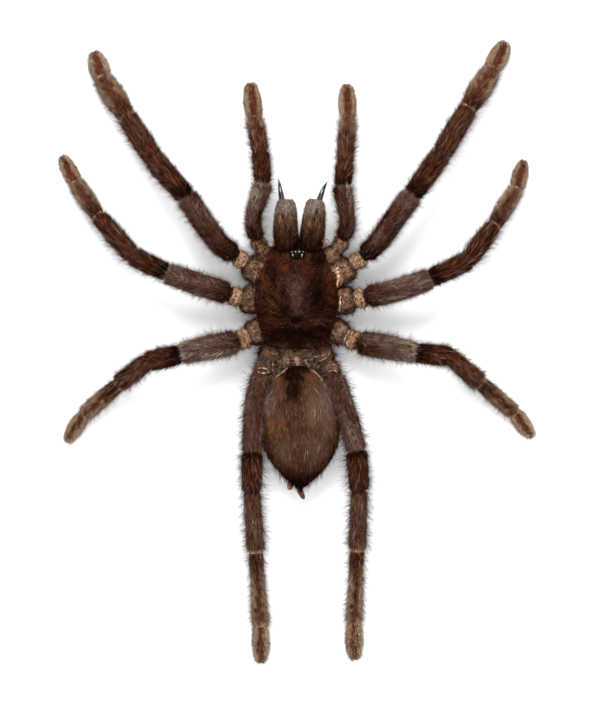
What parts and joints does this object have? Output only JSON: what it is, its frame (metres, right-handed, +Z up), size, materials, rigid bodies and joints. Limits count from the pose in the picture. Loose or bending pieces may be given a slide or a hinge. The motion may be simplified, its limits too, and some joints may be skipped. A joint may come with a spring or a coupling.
{
  "type": "dried tarantula specimen",
  "caption": "Dried tarantula laid flat with its legs spread, resting on its leg tips and abdomen, for a display case, tray or shelf.",
  "frame": {"origin": "on the surface that the specimen rests on, below the middle of its overall span", "axes": "+Y points forward, out past the jaws; +Z up out of the back; +X towards the animal's right side"},
  "size_m": [0.1048, 0.1371, 0.0129],
  "materials": {
    "shield": "satin",
    "waist": "matte",
    "abdomen": "matte",
    "jaws": "matte",
    "fangs": "gloss",
    "limbs": "matte",
    "spinnerets": "matte"
  },
  "bodies": {
    "root": {"cephalothorax": "shield", "pedicel": "waist", "abdomen": "abdomen", "chelicera_left": "jaws", "chelicera_right": "jaws", "fang_left": "fangs", "fang_right": "fangs", "pedipalp_left": "limbs", "pedipalp_right": "limbs", "leg_1_left": "limbs", "leg_1_right": "limbs", "leg_2_left": "limbs", "leg_2_right": "limbs", "leg_3_left": "limbs", "leg_3_right": "limbs", "leg_4_left": "limbs", "leg_4_right": "limbs", "spinneret_left": "spinnerets", "spinneret_right": "spinnerets"}
  },
  "joints": []
}
